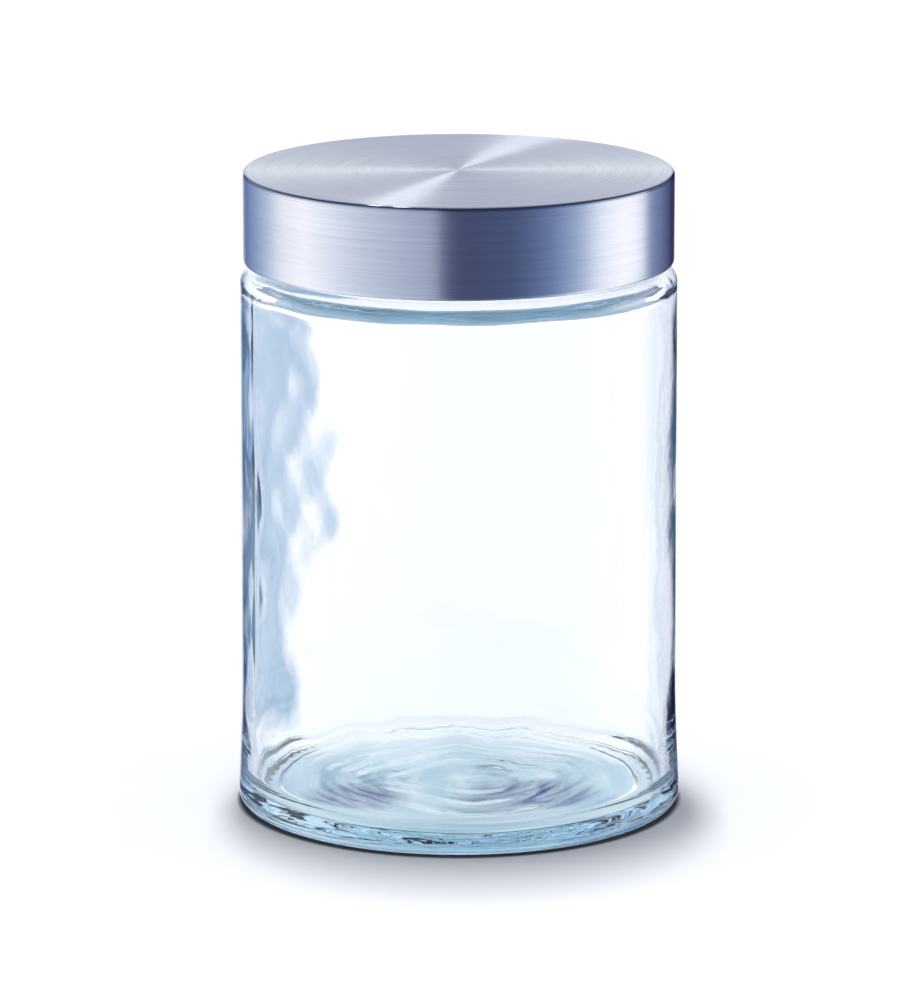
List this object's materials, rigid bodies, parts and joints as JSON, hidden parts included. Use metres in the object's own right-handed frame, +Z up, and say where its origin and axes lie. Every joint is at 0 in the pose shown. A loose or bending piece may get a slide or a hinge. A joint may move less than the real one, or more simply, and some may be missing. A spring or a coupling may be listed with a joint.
{
  "type": "lidded glass canister",
  "caption": "Cylindrical clear glass storage jar with a thick base, a short threaded neck and a brushed steel screw lid with a plastic insert and a seal ring.",
  "frame": {"origin": "middle of the surface that the jar stands on", "axes": "+Z up along the jar's axis, towards the lid; the jar is round, so X and Y are only fixed by the thread, whose first ridge has its middle on +X"},
  "size_m": [0.112, 0.112, 0.162],
  "materials": {
    "clear_glass": "clear soda-lime glass with a faint blue-green tint and slightly wavy inner surface",
    "brushed_steel": "brushed in circles on the top and round the side",
    "white_plastic": "moulded, satin",
    "clear_seal": "translucent silicone, matte"
  },
  "bodies": {
    "jar": {"glass_jar": "clear_glass"},
    "seal": {"seal_ring": "clear_seal"},
    "lid": {"lid_shell": "brushed_steel", "lid_insert": "white_plastic"}
  },
  "joints": [
    {"name": "lid_rise", "type": "slide", "parent": "jar", "child": "seal", "axis": [0, 0, 1], "range_m": [0, 0.025]},
    {"name": "lid_turn", "type": "hinge", "parent": "seal", "child": "lid", "pos_m": [0, 0, 0.15], "axis": [0, 0, 1], "range_deg": [0, 450]}
  ],
  "couplings": [
    {"joint": "lid_rise", "follows": "lid_turn", "m_per_rad": 0.0031831}
  ]
}
